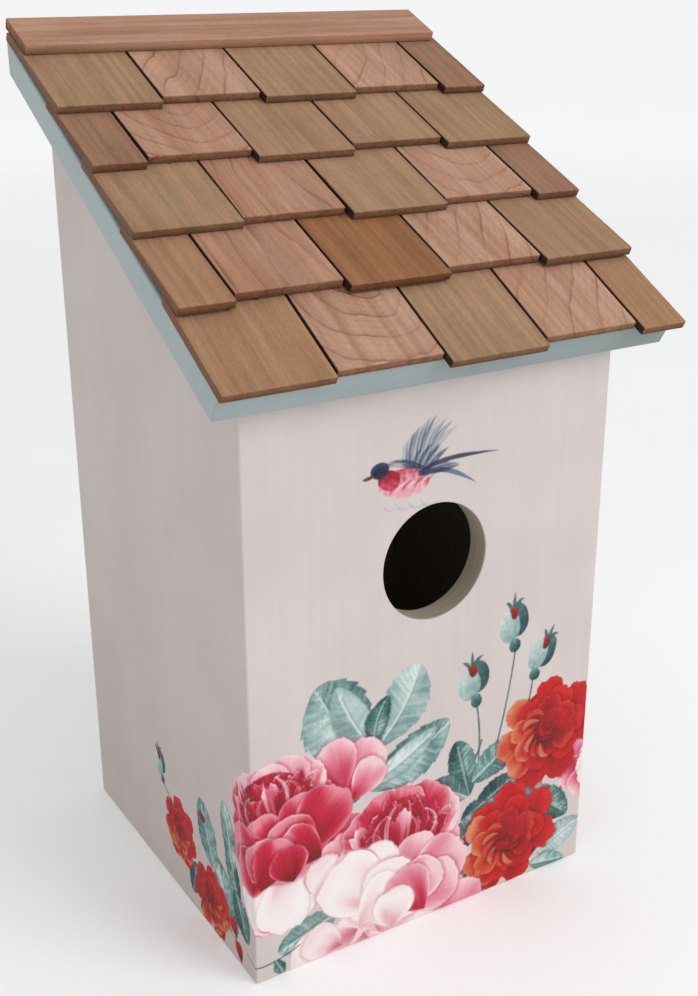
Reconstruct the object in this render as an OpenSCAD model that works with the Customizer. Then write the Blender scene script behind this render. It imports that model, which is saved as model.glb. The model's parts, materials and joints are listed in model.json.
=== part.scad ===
// Salt-box birdhouse: a painted wooden box under one sloping roof board with five courses of
// cedar shingles and a cap strip. The back wall unscrews and pulls off for cleaning.
// Frame: origin at the middle of the box's base, +X to the right seen from the front,
// +Y towards the back, +Z up. Millimetres.

/* [Box] */
// Width of the box across the front
body_w = 132; // [120:1:150]
// Depth of the box from front to back
body_d = 130; // [120:1:150]
// Height of the front wall where it meets the roof
front_h = 196; // [180:1:240]
// Thickness of the wall and floor boards
wall_t = 8; // [7:0.5:10]

/* [Entrance] */
// Diameter of the entrance hole
hole_d = 38; // [28:1:40]
// Height of the middle of the entrance hole
hole_h = 131.5; // [110:0.5:140]

/* [Roof] */
// Slope of the roof in degrees
roof_angle = 30; // [22:1:34]
// Thickness of the roof board
board_t = 9.5; // [9:0.5:12]
// How far the roof board reaches past each side wall
side_eave = 12; // [8:1:18]
// How far the roof board's lower edge reaches past the front wall
front_eave = 8.5; // [6:0.5:16]

/* [Shingles] */
// Thickness of a shingle
shingle_t = 2.8; // [2:0.1:3.4]
// Length of a shingle along the slope
shingle_l = 40; // [38:1:44]
// Distance from one course's butts to the next
exposure = 30.4; // [29:0.1:31]
// How far the first course hangs over the roof board's front edge
butt_overhang = 4; // [2:0.5:7]
// How much shorter every second shingle is
butt_step = 3; // [0:0.5:4]
// Gap between two shingles of a course
joint_gap = 0.6; // [0.3:0.1:1.2]
// How far the end shingles reach past the roof board's sides
shingle_side = 0.5; // [0:0.5:2]

/* [Cap strip] */
// Width of the cap strip along the slope
cap_w = 19; // [16:1:24]
// Thickness of the cap strip
cap_t = 3.5; // [3:0.5:6]
// How far the cap strip hangs over the back of the roof
cap_back = 1.5; // [0:0.5:3]

/* [Clean-out] */
// Gap around the removable back wall
back_gap = 0.5; // [0.4:0.1:0.8]
// Width and depth of the corner cleats that the back wall screws to
cleat = 12; // [11:1:14]
// Diameter of the back wall's screws
screw_d = 3; // [2.5:0.5:3.5]
// Length of the back wall's screws
screw_l = 16; // [14:1:18]

/* [Floor] */
// Diameter of the drainage holes
drain_d = 6; // [4:1:8]

/* [Hidden] */
$fn = 64;
COURSES = 5;
SLOTS = 5;
LETTERS = "abcde";
SHINGLES = [for (c = [0 : COURSES - 1]) for (i = [0 : SLOTS - 1]) str("shingle_", c + 1, LETTERS[i])];

cream = "#e6dad6";
aqua = "#9fb5b5";
ply = "#b8a88e";
olive_cedar = "#a5876a";
pink_cedar = "#be9680";
steel = "#b4b4b0";

// Walls
front_y = -body_d / 2;
back_y = body_d / 2;
outer_x = body_w / 2;
inner_x = outer_x - wall_t;
edge_x = outer_x - wall_t / 2;
panel_front_y = back_y - wall_t;
seat_gap = 0.3;
seat_y = panel_front_y - seat_gap;
cleat_top = front_h - 8;

// Roof board, measured up the slope from its lower front corner
roof_w = body_w + 2 * side_eave;
slope_run = (body_d + front_eave) / cos(roof_angle);
board_top_l = slope_run + board_t * tan(roof_angle);

// Shingles
course_w = roof_w + 2 * shingle_side;
half_share = 0.5;
full_w = (course_w - (SLOTS - 1) * joint_gap) / (SLOTS - 1 + half_share);
half_w = full_w * half_share;
cap_margin = 1;
glue_t = 0.05;

// Fasteners: every one sits in a hole this much wider all round
fit = 0.05;
nail_r = 0.7;
nail_l = 25;
nail_set = 1;
roof_nail_l = 28;
brad_r = 0.6;
brad_l = 8;
brad_head_r = 1.1;
brad_head_t = 0.5;
brad_inset = 5;
brad_shift = 8;
cap_nail_l = 12;
head_r = 3.2;
head_h = 1.9;
slot_w = 0.9;
slot_depth = 1.1;

front_nail_spots = concat(
    [for (s = [-1, 1]) for (z = [0.15, 0.5, 0.85]) [s * edge_x, z * front_h]],
    [for (s = [-1, 1]) [s * inner_x / 2, wall_t / 2]]);
floor_nail_ys = [-body_d / 4, body_d / 4];
cleat_nail_zs = [front_h * 0.25, front_h * 0.8];
screw_spots = [for (s = [-1, 1]) for (z = [0.16, 0.86]) [s * (inner_x - cleat / 2), z * front_h]];
roof_nail_vs = [0.25 * slope_run, 0.5 * slope_run, 0.78 * slope_run];
cap_nail_xs = [-roof_w / 3, 0, roof_w / 3];

// Height of the roof board's underside above the base at a given y
function roof_z(y) = front_h + (y - front_y) * tan(roof_angle);

// Where each course starts and ends up the slope; the top course runs on under the cap
function butt_v(c) = c * exposure - butt_overhang;
function top_v(c) = c < COURSES - 1 ? butt_v(c) + shingle_l : board_top_l - cap_margin;

// Rise per length of a course, which lies on the board at its top and on the course below
function lift(c) =
    c == 0 ? 0 :
    max((shingle_t + glue_t) / (top_v(c) - top_v(c - 1)),
        (shingle_t + glue_t + (top_v(c - 1) - butt_v(c)) * lift(c - 1)) / (top_v(c) - butt_v(c)));
function course_tilt(c) = atan(lift(c));

// The half shingle ends the odd courses on the right and starts the even ones on the left
function is_half(c, i) = c % 2 == 0 ? i == SLOTS - 1 : i == 0;
function shingle_w(c, i) = is_half(c, i) ? half_w : full_w;
function shingle_x(c, i) =
    i * (full_w + joint_gap) - course_w / 2 - (c % 2 == 1 && i > 0 ? full_w - half_w : 0);
function shingle_butt(c, i) = butt_v(c) + (i % 2 == 1 ? butt_step : 0);
function brad_x(c, i) = shingle_x(c, i) + shingle_w(c, i) / 2 + (is_half(c, i) ? 0 : brad_shift);

// Extrudes a (y, z) outline from one x to another
module along_x(x0, x1) {
    translate([x0, 0, 0]) rotate([90, 0, 90]) linear_extrude(x1 - x0) children();
}

// A wall outline from y0 to y1 and up from z0, its top cut gap below the roof board
module under_roof(y0, y1, z0 = 0, gap = 0) {
    drop = gap / cos(roof_angle);
    polygon([[y0, z0], [y1, z0], [y1, roof_z(y1) - drop], [y0, roof_z(y0) - drop]]);
}

// Puts +Y up the slope and +Z square to the roof board, from its lower front corner
module on_slope() {
    translate([0, front_y - front_eave, roof_z(front_y - front_eave)])
        rotate([roof_angle, 0, 0]) children();
}

// Puts the origin at a course's upper end on the board, with +Y along its shingles
module on_course(c) {
    on_slope() translate([0, top_v(c), board_t]) rotate([-course_tilt(c), 0, 0]) children();
}

// A plain round pin from the origin down -Z
module pin(r, l) {
    translate([0, 0, -l]) cylinder(r = r, h = l);
}

module front_nail_set(grow = 0) {
    for (p = front_nail_spots)
        translate([p[0], front_y + nail_set, p[1]]) rotate([90, 0, 0]) pin(nail_r + grow, nail_l + grow);
}

module floor_nail_set(grow = 0) {
    for (s = [-1, 1]) for (y = floor_nail_ys)
        translate([s * (outer_x - nail_set), y, wall_t / 2])
            rotate([0, s * 90, 0]) pin(nail_r + grow, nail_l + grow);
}

module cleat_nail_set(grow = 0) {
    for (s = [-1, 1]) for (z = cleat_nail_zs)
        translate([s * (inner_x - cleat), seat_y - cleat / 2, z])
            rotate([0, -s * 90, 0]) pin(nail_r + grow, cleat + wall_t / 2 + grow);
}

module roof_nail_set(grow = 0) {
    on_slope() for (s = [-1, 1]) for (v = roof_nail_vs)
        translate([s * edge_x, v, board_t]) pin(nail_r + grow, roof_nail_l + grow);
}

module cap_nail_set(grow = 0) {
    on_course(COURSES - 1) for (x = cap_nail_xs)
        translate([x, cap_margin - cap_w / 2, shingle_t + cap_t - nail_set])
            pin(brad_r + grow, cap_nail_l + grow);
}

module brad(grow = 0) {
    pin(brad_r + grow, brad_l + grow);
    pin(brad_head_r + grow, brad_head_t);
}

module brad_at(c, i, grow = 0) {
    on_course(c) translate([brad_x(c, i), -brad_inset, shingle_t]) brad(grow);
}

// Screws of the back wall; grown by the fit they cut their own holes
module screw_set(grow = 0) {
    for (p = screw_spots) translate([p[0], back_y, p[1]]) rotate([-90, 0, 0]) {
        pin(screw_d / 2 + grow, screw_l + grow);
        translate([0, 0, -head_h]) cylinder(r1 = screw_d / 2 + grow, r2 = head_r + grow, h = head_h);
    }
}

module screw_slots() {
    for (p = screw_spots) translate([p[0], back_y - slot_depth / 2, p[1]]) for (a = [0, 90])
        rotate([0, a, 0]) cube([slot_w, slot_depth, head_r * 1.2], center = true);
}

module front_panel() {
    color(cream) difference() {
        along_x(-outer_x, outer_x) under_roof(front_y, front_y + wall_t);
        translate([0, front_y - 1, hole_h]) rotate([-90, 0, 0]) cylinder(d = hole_d, h = wall_t + 2);
        front_nail_set(fit);
    }
}

module side_wall(side) {
    color(cream) difference() {
        along_x(side > 0 ? inner_x : -outer_x, side > 0 ? outer_x : -inner_x)
            under_roof(front_y + wall_t, back_y);
        front_nail_set(fit);
        floor_nail_set(fit);
        cleat_nail_set(fit);
        roof_nail_set(fit);
    }
}

module left_side() { side_wall(-1); }

module right_side() { side_wall(1); }

module back_panel() {
    color(cream) difference() {
        along_x(back_gap - inner_x, inner_x - back_gap)
            under_roof(panel_front_y, back_y, back_gap, back_gap);
        screw_set(fit);
    }
}

module floor_panel() {
    color(ply) difference() {
        translate([-inner_x, front_y + wall_t, 0])
            cube([2 * inner_x, seat_y - front_y - wall_t, wall_t]);
        for (sx = [-1, 1]) for (sy = [-1, 1])
            translate([sx * inner_x * 0.65, sy * inner_x * 0.6, -1]) cylinder(d = drain_d, h = wall_t + 2);
        front_nail_set(fit);
        floor_nail_set(fit);
    }
}

module corner_cleat(side) {
    color(ply) difference() {
        translate([side > 0 ? inner_x - cleat : -inner_x, seat_y - cleat, wall_t])
            cube([cleat, cleat, cleat_top - wall_t]);
        cleat_nail_set(fit);
        screw_set(fit);
    }
}

module left_cleat() { corner_cleat(-1); }

module right_cleat() { corner_cleat(1); }

module roof_board() {
    color(aqua) difference() {
        along_x(-roof_w / 2, roof_w / 2) polygon([
            [front_y - front_eave, roof_z(front_y - front_eave)],
            [back_y, roof_z(back_y)],
            [back_y, roof_z(back_y) + board_t / cos(roof_angle)],
            [front_y - front_eave - board_t * sin(roof_angle),
             roof_z(front_y - front_eave) + board_t * cos(roof_angle)]]);
        roof_nail_set(fit);
        cap_nail_set(fit);
        for (c = [0 : COURSES - 1]) for (i = [0 : SLOTS - 1]) brad_at(c, i, fit);
    }
}

module ridge_cap() {
    color(pink_cedar) difference() {
        on_course(COURSES - 1) translate([-roof_w / 2, cap_margin + cap_back - cap_w, shingle_t])
            cube([roof_w, cap_w, cap_t]);
        cap_nail_set(fit);
    }
}

module shingle(c, i) {
    length = top_v(c) - shingle_butt(c, i);
    color(i % 2 == 0 ? olive_cedar : pink_cedar) difference() {
        on_course(c) translate([shingle_x(c, i), -length, 0])
            cube([shingle_w(c, i), length, shingle_t]);
        brad_at(c, i, fit);
        if (c == COURSES - 1) cap_nail_set(fit);
    }
}

module front_nails() { color(steel) front_nail_set(); }

module floor_nails() { color(steel) floor_nail_set(); }

module cleat_nails() { color(steel) cleat_nail_set(); }

module roof_nails() { color(steel) roof_nail_set(); }

module cap_nails() { color(steel) cap_nail_set(); }

module shingle_brads() {
    color(steel) for (c = [0 : COURSES - 1]) for (i = [0 : SLOTS - 1]) brad_at(c, i);
}

module back_screws() {
    color(steel) difference() {
        screw_set();
        screw_slots();
    }
}

front_panel();
left_side();
right_side();
back_panel();
floor_panel();
left_cleat();
right_cleat();
roof_board();
ridge_cap();
for (c = [0 : COURSES - 1]) for (i = [0 : SLOTS - 1])
    shingle(c, i);
front_nails();
floor_nails();
cleat_nails();
roof_nails();
cap_nails();
shingle_brads();
back_screws();
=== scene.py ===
# Looks of the salt-box birdhouse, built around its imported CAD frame. Metres, +Z up.
import json
import math
import bpy
import numpy as np
from mathutils import Matrix, Vector
from mathutils.geometry import delaunay_2d_cdt

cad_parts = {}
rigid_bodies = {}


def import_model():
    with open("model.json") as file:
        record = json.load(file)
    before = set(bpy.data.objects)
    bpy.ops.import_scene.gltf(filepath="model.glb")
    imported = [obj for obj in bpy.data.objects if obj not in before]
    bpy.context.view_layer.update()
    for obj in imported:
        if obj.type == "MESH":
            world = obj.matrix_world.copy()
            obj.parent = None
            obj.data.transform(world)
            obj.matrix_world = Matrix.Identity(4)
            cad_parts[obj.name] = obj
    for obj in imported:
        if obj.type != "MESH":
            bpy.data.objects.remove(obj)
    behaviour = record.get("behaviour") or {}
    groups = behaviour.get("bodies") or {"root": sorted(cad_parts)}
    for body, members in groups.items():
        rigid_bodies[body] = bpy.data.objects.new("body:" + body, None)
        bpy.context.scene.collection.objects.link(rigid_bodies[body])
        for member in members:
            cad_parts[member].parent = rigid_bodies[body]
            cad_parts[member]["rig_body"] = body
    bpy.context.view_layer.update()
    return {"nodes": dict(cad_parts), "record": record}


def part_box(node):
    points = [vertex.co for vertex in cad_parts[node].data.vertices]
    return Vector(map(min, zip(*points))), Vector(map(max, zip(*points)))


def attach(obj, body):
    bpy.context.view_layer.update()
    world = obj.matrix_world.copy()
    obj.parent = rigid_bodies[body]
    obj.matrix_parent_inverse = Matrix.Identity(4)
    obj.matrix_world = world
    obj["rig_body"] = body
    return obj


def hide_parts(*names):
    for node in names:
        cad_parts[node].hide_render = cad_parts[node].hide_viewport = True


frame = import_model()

NODES = frame["nodes"]
MM = 0.001

# ---------------------------------------------------------------- camera and room
CAM_PLACE = Vector((-0.2156, -0.3633, 0.2916))
CAM_YAW = math.radians(30.2)
CAM_PITCH = math.radians(20.85)
CAM_ROLL = math.radians(-0.7)
CAM_LENS = 47.2
CAM_SHIFT = (0.033, 0.002)
HOUSE_MIDDLE = Vector((0, 0, 0.14))
FLOOR_REACH = 12.0


def show(obj):
    """Puts a new object in the scene."""
    bpy.context.scene.collection.objects.link(obj)
    return obj


def make_camera():
    """The camera, at the photograph's place and angle."""
    data = bpy.data.cameras.new("camera")
    data.lens = CAM_LENS
    data.sensor_width = 36
    data.shift_x, data.shift_y = CAM_SHIFT
    data.clip_start = 0.01
    camera = show(bpy.data.objects.new("camera", data))
    level_ahead = Vector((math.sin(CAM_YAW), math.cos(CAM_YAW), 0))
    ahead = level_ahead * math.cos(CAM_PITCH) - Vector((0, 0, math.sin(CAM_PITCH)))
    level = Vector((math.cos(CAM_YAW), -math.sin(CAM_YAW), 0))
    above = level.cross(ahead)
    right = level * math.cos(CAM_ROLL) + above * math.sin(CAM_ROLL)
    up = above * math.cos(CAM_ROLL) - level * math.sin(CAM_ROLL)
    turned = Matrix((right, up, -ahead)).transposed().to_4x4()
    camera.matrix_world = Matrix.Translation(CAM_PLACE) @ turned
    bpy.context.scene.camera = camera


def area_light(name, place, size, power):
    """A white square lamp that faces the middle of the house."""
    data = bpy.data.lights.new(name, "AREA")
    data.size, data.energy = size, power
    light = show(bpy.data.objects.new(name, data))
    light.location = place
    light.rotation_euler = (HOUSE_MIDDLE - Vector(place)).to_track_quat("-Z", "Y").to_euler()


def make_world():
    """Even soft light, brighter below and along the horizon than overhead."""
    world = bpy.data.worlds.new("studio")
    world.use_nodes = True
    tree = world.node_tree
    sky = tree.nodes["Background"]
    way = tree.nodes.new("ShaderNodeTexCoord")
    split = tree.nodes.new("ShaderNodeSeparateXYZ")
    height = tree.nodes.new("ShaderNodeMapRange")
    for socket, value in (("From Min", 0.03), ("From Max", 0.2), ("To Min", 0.92), ("To Max", 0.66)):
        height.inputs[socket].default_value = value
    tree.links.new(way.outputs["Generated"], split.inputs[0])
    tree.links.new(split.outputs["Z"], height.inputs["Value"])
    tree.links.new(height.outputs[0], sky.inputs["Strength"])
    sky.inputs["Color"].default_value = (0.985, 0.99, 1.0, 1)
    bpy.context.scene.world = world


def make_floor():
    """Pale paper under and behind the house, lit a little from within."""
    mesh = bpy.data.meshes.new("floor")
    corners = [(x * FLOOR_REACH, y * FLOOR_REACH, 0) for x, y in ((-1, -1), (1, -1), (1, 1), (-1, 1))]
    mesh.from_pydata(corners, [], [(0, 1, 2, 3)])
    floor = show(bpy.data.objects.new("floor", mesh))
    g = Graph("floor_paper")
    tone = g.ramp(g.noise(g.coords(), 6.0, 3), [(0.3, 0.87), (0.7, 0.89)])
    shader = g.surface(tone, 0.9, specular=0.2)
    shader.inputs["Emission Color"].default_value = (1, 1, 1, 1)
    away = g.add("ShaderNodeVectorMath", {0: g.coords()}, operation="LENGTH").outputs["Value"]
    g.put(shader.inputs["Emission Strength"], g.span(away, 0.4, 2.5, 0.1, 0.32))
    floor.data.materials.append(g.material)


def make_room():
    """Soft studio light on a pale floor."""
    bpy.context.scene.view_settings.view_transform = "Standard"
    make_world()
    area_light("key", (0.75, -1.25, 1.05), 0.9, 11.5)
    area_light("top", (-0.15, -0.25, 1.6), 1.2, 3)
    make_floor()


# ---------------------------------------------------------------- node graphs
class Graph:
    """A material, with short ways to add the nodes of its surface."""

    def __init__(self, name):
        self.material = bpy.data.materials.new(name)
        self.material.use_nodes = True
        self.tree = self.material.node_tree
        self.tree.nodes.clear()
        self.output = self.tree.nodes.new("ShaderNodeOutputMaterial")

    def put(self, socket, value):
        """Links a node's output to a socket, or sets the socket's own value."""
        if isinstance(value, bpy.types.NodeSocket):
            self.tree.links.new(value, socket)
        elif isinstance(value, (tuple, list)) and len(value) == 3 and socket.type == "RGBA":
            socket.default_value = (*value, 1)
        else:
            socket.default_value = value

    def add(self, kind, inputs=(), **props):
        """Adds a node, with its inputs and its own settings."""
        node = self.tree.nodes.new(kind)
        for key, value in props.items():
            setattr(node, key, value)
        for key, value in dict(inputs).items():
            self.put(node.inputs[key], value)
        return node

    def math(self, operation, a, b=0.0, clamp=False):
        return self.add("ShaderNodeMath", {0: a, 1: b}, operation=operation, use_clamp=clamp).outputs[0]

    def times(self, a, b, clamp=False):
        return self.math("MULTIPLY", a, b, clamp)

    def plus(self, a, b):
        return self.math("ADD", a, b)

    def less(self, a, b):
        return self.math("SUBTRACT", a, b)

    def parts(self, vector):
        return self.add("ShaderNodeSeparateXYZ", {0: vector}).outputs

    def coords(self):
        return self.add("ShaderNodeTexCoord").outputs["Object"]

    def attribute(self, name, output="Fac"):
        return self.add("ShaderNodeAttribute", attribute_name=name).outputs[output]

    def scaled(self, vector, scale, shift=(0, 0, 0)):
        """A place stretched and moved."""
        sockets = {"Vector": vector, "Scale": scale, "Location": shift}
        return self.add("ShaderNodeMapping", sockets).outputs[0]

    def noise(self, vector, scale=1.0, detail=2.0, roughness=0.5):
        """Soft noise, mostly between 0.3 and 0.7."""
        sockets = {"Vector": vector, "Scale": scale, "Detail": detail, "Roughness": roughness}
        return self.add("ShaderNodeTexNoise", sockets).outputs["Fac"]

    def stretched_noise(self, vector, scale, detail=2.0, roughness=0.5):
        return self.noise(self.scaled(vector, scale), 1.0, detail, roughness)

    def ramp(self, factor, stops):
        """Colours or, given single numbers, greys along a factor."""
        node = self.add("ShaderNodeValToRGB", {"Fac": factor})
        elements = node.color_ramp.elements
        while len(elements) < len(stops):
            elements.new(0.5)
        for element, (place, colour) in zip(elements, stops):
            element.position = place
            element.color = (*colour, 1) if isinstance(colour, tuple) else (colour, colour, colour, 1)
        return node.outputs["Color"]

    def mix(self, factor, a, b, blend="MIX"):
        """Colour a where factor is 0, b where it is 1."""
        inputs = {0: factor, 6: a, 7: b}
        return self.add("ShaderNodeMix", inputs, data_type="RGBA", blend_type=blend).outputs[2]

    def tint(self, colour, by, share=1.0):
        """Multiplies a colour by another, or by a share of it."""
        return self.mix(share, colour, by, "MULTIPLY")

    def span(self, value, low, high, to_low=0.0, to_high=1.0):
        """A value moved from one range to another, and kept within it."""
        sockets = {"Value": value, "From Min": low, "From Max": high, "To Min": to_low, "To Max": to_high}
        return self.add("ShaderNodeMapRange", sockets).outputs[0]

    def bump(self, height, strength, distance):
        sockets = {"Height": height, "Strength": strength, "Distance": distance}
        return self.add("ShaderNodeBump", sockets).outputs[0]

    def surface(self, colour, roughness, normal=None, metallic=0.0, specular=0.5):
        """The shader itself, wired to the material's output."""
        sockets = {"Base Color": colour, "Roughness": roughness, "Metallic": metallic,
                   "Specular IOR Level": specular}
        node = self.add("ShaderNodeBsdfPrincipled", sockets)
        if normal is not None:
            self.put(node.inputs["Normal"], normal)
        self.put(self.output.inputs["Surface"], node.outputs[0])
        return node


# ---------------------------------------------------------------- materials
def srgb(r, g, b):
    """Linear colour of a screen colour, 0-255."""
    return tuple(((c / 255 + 0.055) / 1.055) ** 2.4 for c in (r, g, b))


# Tones of raw cedar: early wood, late wood, and the colour of its broad stripes
TONES = {
    "olive": (srgb(160, 127, 101), srgb(130, 98, 72), srgb(150, 125, 95)),
    "pink": (srgb(174, 137, 116), srgb(132, 80, 62), srgb(166, 124, 98)),
    "pale": (srgb(182, 148, 127), srgb(138, 88, 70), srgb(172, 132, 108)),
    "brown": (srgb(156, 119, 92), srgb(126, 88, 64), srgb(164, 128, 98)),
    "rosy": (srgb(153, 115, 94), srgb(116, 76, 60), srgb(137, 107, 85)),
    "rust": (srgb(140, 97, 67), srgb(114, 74, 49), srgb(152, 108, 70)),
}
# How a board was sawn: where the tree's heart lies across and below the face (mm), how the
# board's length leans to it, ring spacing (mm), waviness (mm), and how dark the rings are
CUTS = {
    "straight": dict(heart=(150, -60), lean=(0.03, 0.0), rings=3.1, wave=2.5, contrast=0.3),
    "plain": dict(heart=(60, -90), lean=(0.05, 0.05), rings=6.0, wave=4.0, contrast=0.16),
    "wavy": dict(heart=(30, -30), lean=(0.25, 0.22), rings=6.2, wave=5.5, contrast=0.8),
    "arch": dict(heart=(4, -14), lean=(0.1, 0.62), rings=5.5, wave=4.5, contrast=0.85),
    "curve": dict(heart=(-34, -20), lean=(0.4, 0.25), rings=7.5, wave=6.5, contrast=0.85),
}
# Darkness along one year ring, and along the fainter lines between two
RING_LINE = [(0.0, 0.0), (0.62, 0.08), (0.86, 0.34), (0.93, 1.0), (0.97, 0.9), (1.0, 0.0)]
FAINT_LINE = [(0.0, 0.0), (0.8, 0.25), (1.0, 0.0)]
FAINT_LINES_PER_RING = 3.7
# How far the side walls' outer faces are from the middle
SIDE_FACE = 66 * MM
# Tone by which painted shade darkens a strip's flanks and underside
FLANK_SHADE_TONE = (0.14, 0.10, 0.08)
CREAM = (0.600, 0.537, 0.522)
AQUA = (0.38, 0.45, 0.455)
PLY_LIGHT = srgb(190, 178, 160)
PLY_DARK = srgb(146, 133, 116)


def year_rings(g, place, drift, sawn):
    """How dark the year rings are: nested round a heart line, wavy, and bolder here and there."""
    x, y, z = g.parts(place)
    (heart_x, heart_z), (lean_x, lean_z) = sawn["heart"], sawn["lean"]
    across = g.less(g.less(x, heart_x), g.times(y, lean_x))
    below = g.less(g.less(z, heart_z), g.times(y, lean_z))
    distance = g.math("SQRT", g.plus(g.times(across, across), g.times(below, below)))
    wave = g.times(g.stretched_noise(drift, (0.05, 0.016, 0.05)), 2 * sawn["wave"])
    fine_wave = g.times(g.stretched_noise(drift, (0.5, 0.07, 0.5), 1.0), 0.9)
    walk = g.plus(g.plus(distance, wave), fine_wave)
    line = g.ramp(g.math("FRACT", g.math("DIVIDE", walk, sawn["rings"])), RING_LINE)
    faint = g.ramp(g.math("FRACT", g.math("DIVIDE", walk, sawn["rings"] / FAINT_LINES_PER_RING)), FAINT_LINE)
    bold = g.stretched_noise(drift, (0.09, 0.03, 0.09), 1.0)
    strength = g.span(bold, 0.35, 0.65, sawn["contrast"] * 0.3, sawn["contrast"])
    return g.times(g.math("MAXIMUM", line, faint), strength)


def cedar(name, cut, tone, seed):
    """Raw sawn cedar: the rings of a trunk, broad stripes, fine fibres, darker sawn ends, and painted shade
    on its flanks and underside.
    All of it is laid out in mm by the mesh's own attribute "grain", with y along the grain."""
    early, late, stripe = TONES[tone]
    g = Graph(name)
    place = g.attribute("grain", "Vector")
    drift = g.scaled(place, (1, 1, 1), (seed * 37.0, seed * 91.0, seed * 13.0))
    rings = year_rings(g, place, drift, CUTS[cut])
    broad = g.stretched_noise(drift, (0.22, 0.012, 0.22))
    wood = g.mix(g.span(broad, 0.42, 0.62, 0.0, 0.75), early, stripe)
    wood = g.mix(rings, wood, late)
    fibre = g.stretched_noise(drift, (4.2, 0.16, 4.2), 3.0, 0.6)
    fibre_tone = g.ramp(fibre, [(0.25, (0.78, 0.75, 0.72)), (0.5, 1.0), (0.8, (1.12, 1.11, 1.09))])
    wood = g.tint(wood, fibre_tone, 0.7)
    speck = g.stretched_noise(drift, (1.5, 0.7, 1.5), 3.0, 0.7)
    wood = g.tint(wood, g.ramp(speck, [(0.3, (0.86, 0.83, 0.81)), (0.65, (1.07, 1.06, 1.05))]), 0.8)
    band = g.stretched_noise(drift, (0.42, 0.011, 0.42))
    wood = g.tint(wood, g.ramp(band, [(0.36, (0.84, 0.82, 0.78)), (0.62, (1.09, 1.085, 1.07))]), 0.8)
    blotch = g.stretched_noise(drift, (0.06, 0.035, 0.06))
    wood = g.tint(wood, g.ramp(blotch, [(0.3, (0.88, 0.83, 0.79)), (0.7, (1.08, 1.07, 1.05))]), 0.7)
    # Painted shade: the wood is darkened where the mesh marks a strip's flanks and underside
    wood = g.mix(g.attribute("flank_shade"), wood, g.tint(wood, FLANK_SHADE_TONE))
    sawn_end = g.attribute("sawn")
    teeth = g.stretched_noise(drift, (1.1, 0.2, 6.0), 3.0, 0.65)
    end_tone = g.ramp(teeth, [(0.3, (0.42, 0.33, 0.27)), (0.7, (0.78, 0.67, 0.58))])
    wood = g.mix(sawn_end, wood, g.tint(wood, end_tone))
    rubbed = g.times(g.attribute("edge"), g.span(speck, 0.4, 0.6, 0.1, 0.5))
    wood = g.mix(rubbed, wood, stripe)
    height = g.plus(g.times(fibre, 0.5), g.times(speck, 0.3))
    height = g.plus(height, g.times(teeth, sawn_end))
    normal = g.bump(height, 0.6, 0.25 * MM)
    g.surface(wood, g.span(fibre, 0.2, 0.8, 0.74, 0.88), normal, specular=0.25)
    return g.material


def bare_wood(name, light, dark, grain_axis):
    """Unpainted sawn board or ply edge, its grain along one axis of the frame."""
    g = Graph(name)
    place = g.coords()
    stretch = [900.0, 900.0, 900.0]
    stretch[grain_axis] = 25.0
    grain = g.stretched_noise(place, tuple(stretch), 4.0, 0.6)
    blotch = g.noise(place, 45.0)
    tone = g.mix(grain, dark, light)
    tone = g.tint(tone, g.ramp(blotch, [(0.3, (0.82, 0.80, 0.76)), (0.7, (1.08, 1.06, 1.04))]), 0.5)
    g.surface(tone, g.span(grain, 0.3, 0.7, 0.75, 0.9), g.bump(grain, 0.4, 0.2 * MM), specular=0.3)
    return g.material


def paint_layers(g, base, streak_scale, streak_depth):
    """Brushed paint over wood: its colour, its brush streaks and its roughness."""
    place = g.coords()
    streak = g.stretched_noise(place, streak_scale, 3.0, 0.65)
    cloud = g.noise(place, 30.0, 3.0)
    tone = g.tint(base, g.ramp(streak, [(0.3, 1 - streak_depth), (0.7, 1 + streak_depth * 0.6)]))
    tone = g.tint(tone, g.ramp(cloud, [(0.35, (0.965, 0.955, 0.95)), (0.65, 1.02)]))
    return tone, streak, g.span(streak, 0.3, 0.7, 0.56, 0.7)


def cream_paint():
    """Matt cream paint with the painted flowers in it, and bare wood where the mesh says so."""
    g = Graph("cream_paint")
    tone, streak, rough = paint_layers(g, CREAM, (420.0, 420.0, 14.0), 0.026)
    tone = g.mix(g.times(g.attribute("edge"), 0.35), tone, (0.62, 0.55, 0.50))
    x, _, z = g.parts(g.coords())
    # Painted shade: the outer side faces darken towards their foot
    beside = g.span(g.math("ABSOLUTE", x), SIDE_FACE - 0.5 * MM, SIDE_FACE - 0.1 * MM)
    side_foot_shade = g.times(beside, g.span(z, 0.02, 0.15, 1.0, 0.0))
    tone = g.mix(side_foot_shade, tone, g.tint(tone, (0.9, 0.88, 0.86)))
    picture = g.add("ShaderNodeAttribute", attribute_name="picture")
    grit = g.noise(g.coords(), 1400.0)
    cover = g.times(picture.outputs["Alpha"], g.span(grit, 0.2, 0.75, 0.95, 1.0))
    tone = g.mix(cover, tone, picture.outputs["Color"])
    bare = g.attribute("bare")
    layer = g.stretched_noise(g.coords(), (60.0, 900.0, 60.0), 3.0, 0.6)
    tone = g.mix(bare, tone, g.mix(layer, PLY_LIGHT, PLY_DARK))
    rough = g.mix(bare, rough, (0.85, 0.85, 0.85))
    height = g.plus(g.times(streak, 0.6), g.times(grit, 0.15))
    g.surface(tone, rough, g.bump(height, 0.25, 0.12 * MM), specular=0.22)
    return g.material


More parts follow.
